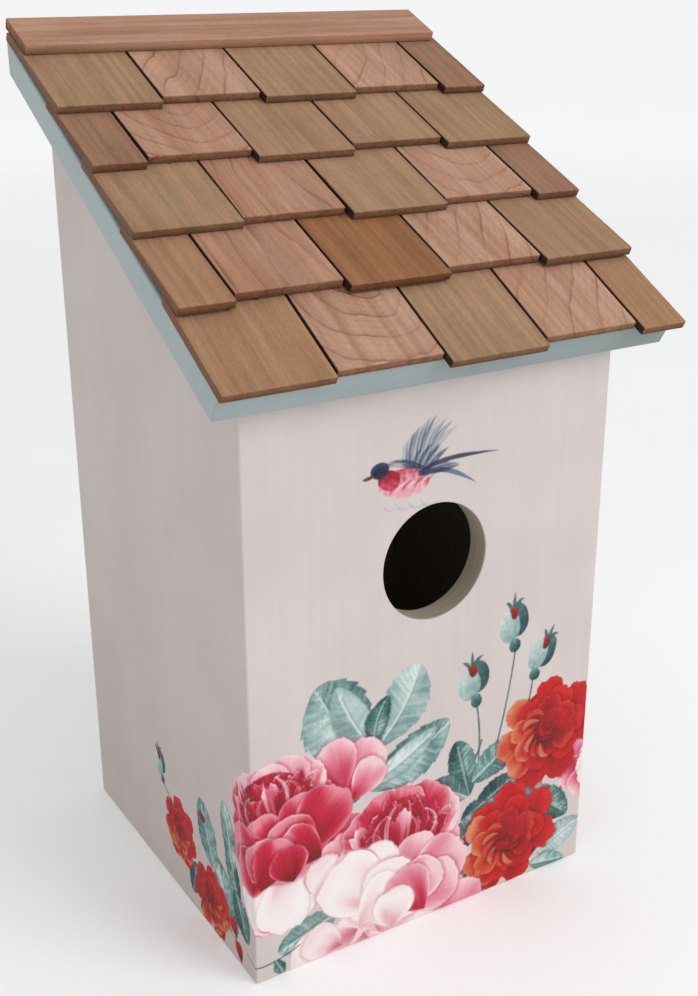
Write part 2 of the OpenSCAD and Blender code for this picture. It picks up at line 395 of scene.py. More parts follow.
def aqua_paint():
    """Satin aqua paint, thin and a little worn along the arrises, with painted shade on its front face,
    deeper towards the right.
    """
    g = Graph("aqua_paint")
    tone, streak, rough = paint_layers(g, AQUA, (60.0, 500.0, 500.0), 0.06)
    chips = g.noise(g.coords(), 260.0, 4.0, 0.65)
    worn = g.times(g.span(chips, 0.56, 0.64), g.attribute("edge"), clamp=True)
    tone = g.mix(g.times(worn, 0.7), tone, (0.44, 0.36, 0.27))
    # Painted shade on the front face, deeper towards the right
    across = g.parts(g.coords())[0]
    front_shade = g.times(g.attribute("front"), g.span(across, -0.07, 0.07, 0.36, 0.86))
    tone = g.mix(front_shade, tone, g.tint(tone, (0.52, 0.55, 0.53)))
    g.surface(tone, g.less(rough, 0.12), g.bump(streak, 0.25, 0.15 * MM), specular=0.4)
    return g.material


def steel():
    """Zinc-plated fastener steel."""
    g = Graph("steel")
    spin = g.noise(g.coords(), 2500.0, 3.0)
    tone = g.ramp(spin, [(0.3, (0.42, 0.42, 0.40)), (0.7, (0.62, 0.62, 0.60))])
    g.surface(tone, g.span(spin, 0.3, 0.7, 0.3, 0.5), g.bump(spin, 0.15, 0.05 * MM), metallic=1.0)
    return g.material


# ---------------------------------------------------------------- meshes
def piece(name, verts, faces, material, body, node):
    """A finished mesh that stands for a CAD node and rides on its body."""
    mesh = bpy.data.meshes.new(name)
    mesh.from_pydata([tuple(v) for v in verts], [], [tuple(int(i) for i in f) for f in faces])
    mesh.validate()
    mesh.polygons.foreach_set("use_smooth", [True] * len(mesh.polygons))
    obj = show(bpy.data.objects.new(name, mesh))
    mesh.materials.append(material)
    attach(obj, body)
    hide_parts(node)
    return obj


def point_data(obj, name, values, kind="FLOAT"):
    """Stores one value, vector or colour per vertex."""
    attribute = obj.data.attributes.new(name, kind, "POINT")
    key = {"FLOAT": "value", "FLOAT_VECTOR": "vector", "FLOAT_COLOR": "color"}[kind]
    attribute.data.foreach_set(key, np.asarray(values, np.float32).ravel())


def board_axes(node):
    """Middle, right-handed axes (across, along, up) and sizes of a flat board from its CAD mesh."""
    mesh = NODES[node].data
    normal = max((p for p in mesh.polygons if p.normal.z > 0.5), key=lambda p: p.area).normal.copy()
    across = Vector((1, 0, 0))
    along = normal.cross(across).normalized()
    axes = np.array([across, along, normal.normalized()])
    local = np.array([v.co for v in mesh.vertices]) @ axes.T
    low, high = local.min(0), local.max(0)
    return (low + high) / 2 @ axes, axes, high - low


def spaced(half, radius, step):
    """Positions from -half to half, close together in the rounded ends."""
    ends = [half, half - 0.1 * radius, half - 0.4 * radius, half - radius]
    flat = half - 1.5 * radius
    inner = np.linspace(-flat, flat, max(2, int(round(2 * flat / step)) + 1))
    return np.array([-e for e in ends] + list(inner) + ends[::-1])


# Corners of a mesh cell, anticlockwise
SQUARE = ((0, 0), (1, 0), (1, 1), (0, 1))


def box_shell(sizes, radius, steps):
    """Points and quads of a closed box surface with every edge rounded, centred on the origin."""
    lines = [spaced(s / 2, radius, step) for s, step in zip(sizes, steps)]
    index = {}
    faces = []
    for flat_axis, one, two in ((2, 0, 1), (1, 2, 0), (0, 1, 2)):
        for i in range(len(lines[one]) - 1):
            for j in range(len(lines[two]) - 1):
                for level, loop in ((0, SQUARE[::-1]), (len(lines[flat_axis]) - 1, SQUARE)):
                    place = [0, 0, 0]
                    place[flat_axis] = level
                    quad = []
                    for di, dj in loop:
                        place[one], place[two] = i + di, j + dj
                        quad.append(index.setdefault(tuple(place), len(index)))
                    faces.append(quad)
    points = np.array([[line[i] for line, i in zip(lines, place)] for place in index])
    core = np.clip(points, radius - np.array(sizes) / 2, np.array(sizes) / 2 - radius)
    out = points - core
    length = np.linalg.norm(out, axis=1)
    rounded = core + out / np.maximum(length, 1e-12)[:, None] * radius
    return np.where((length > 1e-9)[:, None], rounded, points), faces


# Odd multipliers that scatter whole numbers well
HASH_STEPS = (374761393, 668265263, 2147483647)
HASH_SEED = 1274126177


def mixed_bits(h):
    """Scrambles whole numbers, the same way on every run."""
    h = h & 0xFFFFFFFF
    h = ((h ^ (h >> 13)) * 1103515245) & 0xFFFFFFFF
    return h ^ (h >> 16)


def value_noise(p, seed):
    """Smooth noise in -1..1 at 3-D points, the same on every run."""
    cell = np.floor(p).astype(np.int64)
    f = p - cell
    f = f * f * (3 - 2 * f)
    total = np.zeros(len(p))
    for corner in range(8):
        d = np.array([corner >> 2 & 1, corner >> 1 & 1, corner & 1])
        h = mixed_bits((cell + d) @ np.array(HASH_STEPS) + seed * HASH_SEED) & 0xFFFFFF
        weight = np.prod(np.where(d, f, 1 - f), axis=1)
        total += weight * (h / 0x7FFFFF - 1.0)
    return total


STRIP_GAP = 0.04 * MM
STRIP_RADIUS = 0.35 * MM
WOBBLE_SIZE = 1.4 * MM
WOBBLE_DEPTH = 0.12 * MM
SHINGLE_STEPS = (1.2 * MM, 1.5 * MM, 0.7 * MM)
CAP_STEPS = (2 * MM, 1.5 * MM, 0.8 * MM)
# Beyond this distance from the middle a shingle's side is the roof's side, in full light, and gets half the
# painted shade
ROOF_SIDE = 77 * MM


def rounding(points, half, radius, axis):
    """How far into its rounded edge each point is on the two faces square to an axis, 0 to 1."""
    return np.clip((np.abs(points[:, axis]) - half[axis] + radius) / radius, 0, 1)


def wood_strip(node, material, seed, grow=(0, 0, 0), turn=0.0, skew=0.0, trim=0.0,
               grain_along=1, steps=SHINGLE_STEPS):
    """A sawn strip in a CAD board's place, with eased uneven edges. Its butt end is moved by grow,
    its right end is moved up the slope by skew and cut off by trim, and it is turned a little.
    The mesh tells its material where it is sawn across and worn at the edge, and where shade is painted on
    its flanks and underside."""
    middle, axes, sizes = board_axes(node)
    sizes = sizes - STRIP_GAP
    radius = STRIP_RADIUS
    points, faces = box_shell(sizes, radius, steps)
    half = sizes / 2
    sawn = rounding(points, half, radius, grain_along)
    wide = rounding(points, half, radius, 2)
    on_edge = np.maximum(sawn, rounding(points, half, radius, 0))
    shaped = points.copy()
    for axis in range(3):
        wobble = value_noise(points / WOBBLE_SIZE, seed * 3 + axis) * WOBBLE_DEPTH
        shaped[:, axis] -= np.sign(points[:, axis]) * np.abs(wobble) * on_edge
    reach = (half[1] - points[:, 1]) / sizes[1]
    right = (points[:, 0] + half[0]) / sizes[0]
    shaped[:, 0] += grow[0] * reach + turn * (points[:, 1] - half[1]) - trim * right
    shaped[:, 1] += grow[1] * reach + skew * right
    shaped[:, 2] += grow[2] * reach ** 2
    obj = piece(node + "_wood", middle + shaped @ axes, faces, material, BODY_OF[node], node)
    # Painted shade on the flanks, half as dark at the roof's open sides, and under the strip
    flank_shade = np.zeros(len(points))
    if grain_along == 1:
        outside = np.abs(middle[0] + points[:, 0]) > ROOF_SIDE
        flank_shade = rounding(points, half, radius, 0) * np.where(outside, 0.5, 1.0)
    under = np.clip((half[2] * 0.2 - points[:, 2]) / half[2], 0, 1)
    grain = points / MM
    point_data(obj, "grain", grain if grain_along == 1 else grain[:, [1, 0, 2]], "FLOAT_VECTOR")
    point_data(obj, "sawn", sawn * (1 - 0.4 * wide))
    point_data(obj, "flank_shade", np.maximum(flank_shade, under * 0.55))
    point_data(obj, "edge", np.clip(2 * np.minimum(sawn, wide), 0, 1))


BODY_OF = {n: o["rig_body"] for n, o in NODES.items()}
FRONT_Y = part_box("front_panel")[0].y
ROOF_AXES = board_axes("roof_board")[1]
ROOF_ANGLE = math.atan2(-ROOF_AXES[2][1], ROOF_AXES[2][2])
ENTRANCE = next(m for m in frame["record"]["mounts"] if m["name"] == "entrance")
HOLE_R = ENTRANCE["dims"]["r_mm"] * MM
HOLE_Z = ENTRANCE["pos_m"][2]

# ---------------------------------------------------------------- shingles and cap strip
# How each shingle was sawn, and its tone; 1a is the lowest at the left
SHINGLE_LOOKS = {
    "1a": ("plain", "brown"), "1b": ("arch", "pale"), "1c": ("plain", "olive"),
    "1d": ("curve", "pale"), "1e": ("straight", "brown"),
    "2a": ("plain", "brown"), "2b": ("wavy", "pink"), "2c": ("plain", "rust"),
    "2d": ("curve", "pale"), "2e": ("straight", "olive"),
    "3a": ("straight", "olive"), "3b": ("wavy", "pink"), "3c": ("plain", "olive"),
    "3d": ("arch", "pale"), "3e": ("straight", "rosy"),
    "4a": ("plain", "rosy"), "4b": ("arch", "pink"), "4c": ("plain", "olive"),
    "4d": ("straight", "olive"), "4e": ("straight", "olive"),
    "5a": ("straight", "olive"), "5b": ("curve", "pale"), "5c": ("plain", "olive"),
    "5d": ("curve", "pale"), "5e": ("straight", "rosy"),
}
# Butts that end a little higher up the slope than their course (mm)
BUTT_LIFT = {"1a": 1.4, "3a": 1.4, "4a": 1.4, "1b": 0.6, "4b": 0.8}


def make_shingles():
    """The 25 shingles, each of its own wood and set a little out of true."""
    for number, (name, (cut, tone)) in enumerate(sorted(SHINGLE_LOOKS.items()), 1):
        node = "shingle_" + name
        spots = np.array([[(number - 1) * 3.7, k * 5.3, 0.5] for k in range(4)])
        aside, back, up, turn = value_noise(spots, 9) * (0.25 * MM, 0.5 * MM, 0.15 * MM, 0.006)
        grow = (aside, back + BUTT_LIFT.get(name, 0.0) * MM, up)
        wood = cedar("cedar_" + name, cut, tone, number)
        wood_strip(node, wood, number, grow=grow, turn=turn)


def make_cap():
    """The cap strip, whose grain runs along the ridge."""
    wood = cedar("cedar_cap", "straight", "pink", 40)
    wood_strip("ridge_cap", wood, 40, grow=(0, 0.8 * MM, 0), skew=1.6 * MM, trim=2 * MM,
               grain_along=0, steps=CAP_STEPS)


# ---------------------------------------------------------------- boards of the house
CORNER_STEPS = 4
HOLE_STEPS = 96
# Mesh steps along a wall's plain parts and up its painted corners
EDGE_STEP = 6 * MM
PAINT_STEP = 0.7 * MM
# Strip of small faces beside each arris, height of the eased foot, and radius of the hole's rim
SUPPORT = 0.4 * MM
FOOT = 0.5 * MM
RIM = 0.35 * MM
# A point this close to a face is on it
TOUCH = 0.01 * MM
# Points this close together are one, and a triangle of less than this area (m2) is none
SAME_PLACE = 1e-7
SLIVER = 1e-14
# Rounding of the walls' free corners, and of the joint between front and side
SOFT_CORNER = 0.7 * MM
TIGHT_CORNER = 0.12 * MM


def make_roof_board():
    """The painted roof board: rounded arrises, and a plumb cut where it meets the back."""
    middle, axes, sizes = board_axes("roof_board")
    radius = 0.8 * MM
    points, faces = box_shell(sizes, radius, (4 * MM, 4 * MM, 2 * MM))
    half = sizes / 2
    cut = sizes[2] * math.tan(ROOF_ANGLE)
    stretch = (points[:, 1] + half[1]) / sizes[1]
    shaped = points.copy()
    shaped[:, 1] -= stretch * cut * (half[2] - points[:, 2]) / sizes[2]
    into_edge = np.sort(np.clip((np.abs(points) - half + radius) / radius, 0, 1), axis=1)
    obj = piece("roof_board_paint", middle + shaped @ axes, faces, aqua_paint(), "house", "roof_board")
    point_data(obj, "edge", into_edge[:, 1])
    point_data(obj, "front", np.clip((radius - points[:, 1] - half[1]) / radius, 0, 1))


def rounded_outline(low, high, radii):
    """A board's outline seen from above, anticlockwise from its left back corner, with rounded corners."""
    corners = [(low.x, high.y), (low.x, low.y), (high.x, low.y), (high.x, high.y)]
    points = []
    for number, ((x, y), r) in enumerate(zip(corners, radii)):
        if r == 0:
            points.append((x, y))
            continue
        cx = x + (r if x == low.x else -r)
        cy = y + (r if y == low.y else -r)
        for step in range(CORNER_STEPS + 1):
            a = math.pi / 2 * (1 + number + step / CORNER_STEPS)
            points.append((cx + r * math.cos(a), cy + r * math.sin(a)))
    return points


class Wall:
    """A wall board as a sheet wrapped round its outline. The sheet is meshed flat, by distance
    round the outline (s) and height (z), so that it can be fine where its surface has detail."""

    def __init__(self, node, radii):
        self.low, self.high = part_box(node)
        self.node = node
        self.reach = max(abs(self.low.x), abs(self.high.x))
        corners = rounded_outline(self.low, self.high, radii)
        self.path = []
        for a, b in zip(corners, corners[1:] + corners[:1]):
            length = math.dist(a, b)
            stops = [0.0]
            if length > 2 * MM:
                flat = length - 2 * SUPPORT
                stops += list(SUPPORT + np.linspace(0, flat, round(flat / EDGE_STEP) + 1))
            self.path += [np.add(a, np.subtract(b, a) * t / length) for t in stops]
        self.path.append(self.path[0])
        self.path = np.array(self.path)
        self.s = np.concatenate([[0.0], np.cumsum(np.linalg.norm(np.diff(self.path, axis=0), axis=1))])
        self.verts = []
        self.edges = []
        self.cuts = []
        self.columns = []
        self.row(self.low.z)
        self.row(self.low.z + FOOT)
        self.add(np.column_stack([self.s, self.top(self.path[:, 1])]), True)
        for before, here, after in zip(self.s, self.s[1:], self.s[2:]):
            if min(here - before, after - here) < 2 * MM:
                self.column(here)
        self.column(self.s[0])
        self.column(self.s[-1])

    def top(self, y):
        """Height of the wall's top, cut to the roof's slope, at a given y."""
        return self.high.z - (self.high.y - y) * math.tan(ROOF_ANGLE)

    def xy(self, s):
        """Places seen from above at distances s round the outline."""
        return np.column_stack([np.interp(s, self.s, self.path[:, axis]) for axis in (0, 1)])

    def add(self, points, chained=False, closed=False):
        """Adds points (s, z) to the flat sheet, joined into a line or a closed loop if wanted."""
        first = len(self.verts)
        self.verts += [tuple(p) for p in points]
        ids = list(range(first, len(self.verts)))
        if chained:
            self.edges += list(zip(ids, ids[1:]))
        if closed:
            self.edges.append((ids[-1], ids[0]))

    def row(self, z):
        """A line of points round the whole wall."""
        self.add([(s, z) for s in self.s], True)

    def column(self, s):
        """A line of points up the wall, close together at the painted front corners."""
        x, y = self.xy([s])[0]
        top = float(self.top(y))
        corner = abs(abs(x) - self.reach) < 2 * MM and y < FRONT_Y + 10 * MM
        step = PAINT_STEP if corner else EDGE_STEP
        heights = np.linspace(self.low.z + FOOT, top, int((top - self.low.z) / step))
        self.add([(s, z) for z in heights], True)
        self.columns.append(s)

    def hole(self, s, z, radius):
        """Cuts a round hole out of the sheet."""
        turn = np.linspace(0, 2 * math.pi, HOLE_STEPS, endpoint=False)
        self.add(np.column_stack([s + radius * np.cos(turn), z + radius * np.sin(turn)]), True, True)
        self.cuts.append((s, z, radius))

    def mesh(self):
        """The wrapped sheet with its top and foot closed, as points and faces."""
        flat = [Vector((s / MM, z / MM)) for s, z in self.verts]
        points, _, faces, _, _, _ = delaunay_2d_cdt(flat, self.edges, [], 0, 1e-4, False)
        sz = np.array([(p.x * MM, p.y * MM) for p in points])
        faces = np.array([f for f in faces if len(f) == 3])
        a, b, c = (sz[faces[:, k]] for k in range(3))
        area = np.cross(b - a, c - a)
        faces[area < 0] = faces[area < 0][:, ::-1]
        centre = (a + b + c) / 3
        keep = np.abs(area) > SLIVER
        keep &= centre[:, 1] < np.interp(centre[:, 0], self.s, self.top(self.path[:, 1]))
        for s, z, radius in self.cuts:
            keep &= np.hypot(centre[:, 0] - s, centre[:, 1] - z) > radius * math.cos(math.pi / HOLE_STEPS)
        faces = [list(f) for f in faces[keep]]
        for height, turn in ((self.top(self.path[:, 1]), 1), (np.full(len(self.s), self.low.z), -1)):
            on_rim = np.abs(sz[:, 1] - np.interp(sz[:, 0], self.s, height)) < SAME_PLACE
            rim = np.nonzero(on_rim)[0]
            rim = rim[np.argsort(sz[rim, 0])][:-1]
            faces.append(list(rim[::turn]))
        xy = self.xy(sz[:, 0])
        middle = np.array([(self.low.x + self.high.x) / 2, (self.low.y + self.high.y) / 2])
        half = np.array([self.high.x - self.low.x, self.high.y - self.low.y]) / 2
        inset = np.clip(self.low.z + FOOT - sz[:, 1], 0, FOOT)[:, None]
        xy = middle + (xy - middle) * (1 - inset / half)
        return np.column_stack([xy, sz[:, 1]]), faces

    def side_middle(self, x, y):
        """Distance round the outline of the outline's point nearest to (x, y)."""
        fine = np.linspace(0, self.s[-1], 4000)
        return float(fine[np.argmin(np.linalg.norm(self.xy(fine) - np.array([x, y]), axis=1))])


def weld(points, faces):
    """Joins points that lie at the same place."""
    keys = np.round(np.asarray(points) / SAME_PLACE).astype(np.int64)
    _, first, group = np.unique(keys, axis=0, return_index=True, return_inverse=True)
    group = group.ravel()
    joined = []
    for f in faces:
        ids = [int(group[i]) for i in f]
        ids = [a for a, b in zip(ids, ids[1:] + ids[:1]) if a != b]
        if len(ids) > 2:
            joined.append(ids)
    return np.asarray(points)[first], joined


def round_cut(centre, radius_at, depths):
    """Wall of a round hole square to the front, facing inward: a ring of points at each depth (y)."""
    turn = np.linspace(0, 2 * math.pi, HOLE_STEPS, endpoint=False)
    points = []
    faces = []
    for row, y in enumerate(depths):
        ring_x = centre[0] + radius_at(y) * np.cos(turn)
        ring_z = centre[1] + radius_at(y) * np.sin(turn)
        points.append(np.column_stack([ring_x, np.full(HOLE_STEPS, y), ring_z]))
        here, after = row * HOLE_STEPS, (row + 1) * HOLE_STEPS
        for i in range(HOLE_STEPS if row + 1 < len(depths) else 0):
            j = (i + 1) % HOLE_STEPS
            faces.append([here + i, after + i, after + j, here + j])
    return np.concatenate(points), faces


def joined(parts):
    """One point list and one face list out of several."""
    points = []
    faces = []
    start = 0
    for some_points, some_faces in parts:
        points.append(np.asarray(some_points))
        faces += [[i + start for i in f] for f in some_faces]
        start += len(some_points)
    return weld(np.concatenate(points), faces)


def wall_piece(wall, extra, material, inside, picture):
    """Finishes a wall: bare where inside() says so, with the picture on its outer faces."""
    points, faces = joined([wall.mesh()] + extra)
    obj = piece(wall.node + "_paint", points, faces, material, BODY_OF[wall.node], wall.node)
    obj.data.set_sharp_from_angle(angle=math.radians(35))
    x, y, z = points.T
    bare = inside(x, y, z).astype(float)
    gaps = [np.minimum(x - wall.low.x, wall.high.x - x), np.minimum(y - wall.low.y, wall.high.y - y),
            z - wall.low.z]
    near = np.sort(np.array(gaps), axis=0)[1]
    point_data(obj, "edge", np.clip(1 - near / (0.9 * MM), 0, 1) * (1 - bare))
    point_data(obj, "bare", bare)
    colours = picture.sample(unfold(x, y) / MM, z / MM)
    colours[:, 3] *= (1 - bare) * (y < wall.high.y - TOUCH)
    point_data(obj, "picture", colours, "FLOAT_COLOR")


def unfold(x, y):
    """Distance round the house from the middle of its front, from a place on its outer faces."""
    return np.where(x < 0, x - (y - FRONT_Y), x + (y - FRONT_Y))


def add_detail(wall, picture, outer):
    """Adds points to a wall's sheet where its outer face shows detail of the picture."""
    s = np.linspace(0, wall.s[-1], 20000)
    x, y = wall.xy(s).T
    shown = outer(x, y)
    s, u = s[shown], unfold(x[shown], y[shown])
    spots = picture.detail() * MM
    spots = spots[(spots[:, 0] > u[0]) & (spots[:, 0] < u[-1])]
    at = np.interp(spots[:, 0], u, s)
    z = spots[:, 1]
    clear = 0.15 * MM
    keep = np.min(np.abs(at[:, None] - np.array(wall.columns)[None, :]), axis=1) > clear
    keep &= (z > wall.low.z + FOOT + clear) & (z < wall.top(wall.xy(at)[:, 1]) - clear)
    for hole_s, hole_z, radius in wall.cuts:
        keep &= np.abs(np.hypot(at - hole_s, z - hole_z) - radius) > clear
    wall.add(np.column_stack([at, z])[keep])


def make_front(material, picture):
    """The front wall with the entrance hole."""
    wall = Wall("front_panel", (0, SOFT_CORNER, SOFT_CORNER, 0))
    front, back = wall.low.y, wall.high.y
    for y in (front, back):
        wall.hole(wall.side_middle(0, y), HOLE_Z, HOLE_R + RIM)

    def radius_at(y):
        edge = min(y - front, back - y)
        if edge >= RIM:
            return HOLE_R
        return HOLE_R + RIM - math.sqrt(RIM ** 2 - (RIM - edge) ** 2)

    eased = [0, 0.08 * RIM, 0.3 * RIM, RIM]
    depths = [front + d for d in eased] + list(np.linspace(front + 1 * MM, back - 1 * MM, 5))
    depths += [back - d for d in eased[::-1]]
    rings = round_cut((0, HOLE_Z), radius_at, depths)
    add_detail(wall, picture, lambda x, y: y < back - TOUCH)

    def inside(x, y, z):
        in_hole = np.hypot(x, z - HOLE_Z) < HOLE_R + 0.6 * RIM
        return in_hole | ((y > back - TOUCH) & (np.abs(x) < wall.reach - 0.1 * MM))

    wall_piece(wall, [rings], material, inside, picture)


def make_sides(material, picture):
    """The side walls: bare within, with a soft corner at the back and a tight joint at the front."""
    for node, radii in (("left_side", (SOFT_CORNER, TIGHT_CORNER, 0, 0)),
                        ("right_side", (0, 0, TIGHT_CORNER, SOFT_CORNER))):
        wall = Wall(node, radii)
        inner = wall.high.x if wall.high.x < 0 else wall.low.x
        outer = wall.reach - 0.1 * MM
        add_detail(wall, picture, lambda x, y: (np.abs(x) > outer) & (y < wall.high.y - TOUCH))
        wall_piece(wall, [], material, lambda x, y, z: np.abs(x - inner) < TOUCH, picture)


def make_back(material, picture):
    """The clean-out wall, countersunk round its four screws."""
    wall = Wall("back_panel", (0.5 * MM, 0, 0, 0.5 * MM))
    low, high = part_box("back_screws")
    head = 3.25 * MM
    shank = 1.55 * MM
    sink = 1.9 * MM
    cuts = []
    for x in (low.x + head, high.x - head):
        for z in (low.z + head, high.z - head):
            wall.hole(wall.side_middle(x, wall.high.y), z, head)
            depths = [wall.high.y - sink * share for share in (1.1, 0.5, 0)]
            cuts.append(round_cut((x, z), lambda y: head - (wall.high.y - y) / sink * (head - shank), depths))
    wall_piece(wall, cuts, material, lambda x, y, z: y < wall.low.y + TOUCH, picture)


def dress_cad():
    """Gives the CAD nodes that stay in view their own materials."""
    plywood = bare_wood("floor_ply", PLY_LIGHT, PLY_DARK, 1)
    pine = bare_wood("cleat_pine", srgb(206, 180, 142), srgb(172, 140, 104), 2)
    metal = steel()
    fasteners = [name for name in NODES if name.endswith(("_nails", "_brads", "_screws"))]
    dresses = ((plywood, ["floor_panel"]), (pine, ["left_cleat", "right_cleat"]), (metal, fasteners))
    for material, names in dresses:
        for name in names:
            NODES[name].data.materials.clear()
            NODES[name].data.materials.append(material)


# ---------------------------------------------------------------- the painted flowers
# The picture is painted once, flat, in mm: u runs round the house (0 in the middle of the front,
# -66 and 66 at its corners) and z is the height. Colours are screen colours, 0-255, and a
# palette is four of them, from a petal's dark root to its rim.
CRIMSON = ((124, 14, 36), (172, 22, 46), (200, 52, 78), (230, 138, 152))
WINE = ((104, 10, 30), (150, 16, 40), (184, 36, 60), (214, 96, 116))
ROSE_PINK = ((184, 36, 64), (214, 98, 122), (232, 158, 172), (244, 206, 210))
BLUSH = ((206, 112, 132), (240, 204, 206), (246, 234, 232), (242, 222, 222))
MILK = ((228, 170, 178), (244, 226, 224), (248, 242, 240), (246, 234, 232))
SCARLET = ((112, 8, 22), (164, 10, 24), (194, 18, 30), (204, 46, 46))
ORANGE = ((164, 32, 28), (198, 62, 46), (206, 98, 66), (216, 140, 100))
EMBER = ((98, 12, 24), (144, 16, 30), (176, 26, 36), (200, 58, 54))
TEAL = ((68, 106, 102), (112, 148, 142), (160, 186, 182), (206, 220, 216))
DEEP_TEAL = ((36, 66, 68), (62, 100, 98), (96, 134, 128), (158, 186, 178))
MIST = ((120, 152, 148), (162, 186, 182), (190, 208, 204), (222, 230, 228))
BREAST = ((244, 220, 222), (226, 158, 168), (182, 58, 82), (140, 30, 52))
THROAT = ((214, 110, 126), (176, 44, 66), (150, 26, 48), (128, 22, 44))
EYE = ((16, 16, 20), (18, 18, 22), (20, 20, 26), (120, 120, 130))
OCHRE = (212, 160, 104)
WHITE_PINK = (250, 234, 234)
NAVY = (42, 52, 78)
SLATE = (92, 110, 132)
GREY_BLUE = (158, 170, 184)
PAPER = (213, 203, 202)
# Sizes of the picture's cells (pixels) that get points, how much colour has to change in one,
# and whether its neighbours get points too; the first level covers the whole picture
DETAIL_LEVELS = ((40, -1.0, False), (16, 0.03, True), (8, 0.08, True), (4, 0.13, False))
LEAF_TEETH = 7
STROKE_PARTS = 25


def lattice(cell_x, cell_y, seed):
    """A fixed value in -1..1 for each cell of a plane."""
    h = mixed_bits(cell_x * HASH_STEPS[0] + cell_y * HASH_STEPS[1] + seed * HASH_SEED)
    return (h & 0xFFFF) / 0x7FFF - 1.0


def blend(a, b, share):
    """a where share is 0, b where it is 1."""
    return a * (1 - share) + b * share


def noise2(x, y, seed):
    """Smooth noise in -1..1 on a plane, the same on every run."""
    x, y = np.broadcast_arrays(x, y)
    cx, cy = (np.floor(p).astype(np.int64) for p in (x, y))
    fx, fy = (f * f * (3 - 2 * f) for f in (x - cx, y - cy))
    low, high = (blend(lattice(cx, row, seed), lattice(cx + 1, row, seed), fx) for row in (cy, cy + 1))
    return blend(low, high, fy)


def shade(palette, t):
    """Colour along a palette, from 0 (its dark root) to 1 (its rim)."""
    return np.stack([np.interp(t, (0.0, 0.4, 0.75, 1.0), tones) for tones in zip(*palette)], -1)


def soft(distance, width=0.3):
    """Cover of a brush edge: 1 inside, 0 outside, over a width in mm."""
    return np.clip(distance / width + 0.5, 0, 1)


def bell(distance, width):
    """1 at distance 0, falling off to both sides."""
    return np.exp(-(distance / width) ** 2)


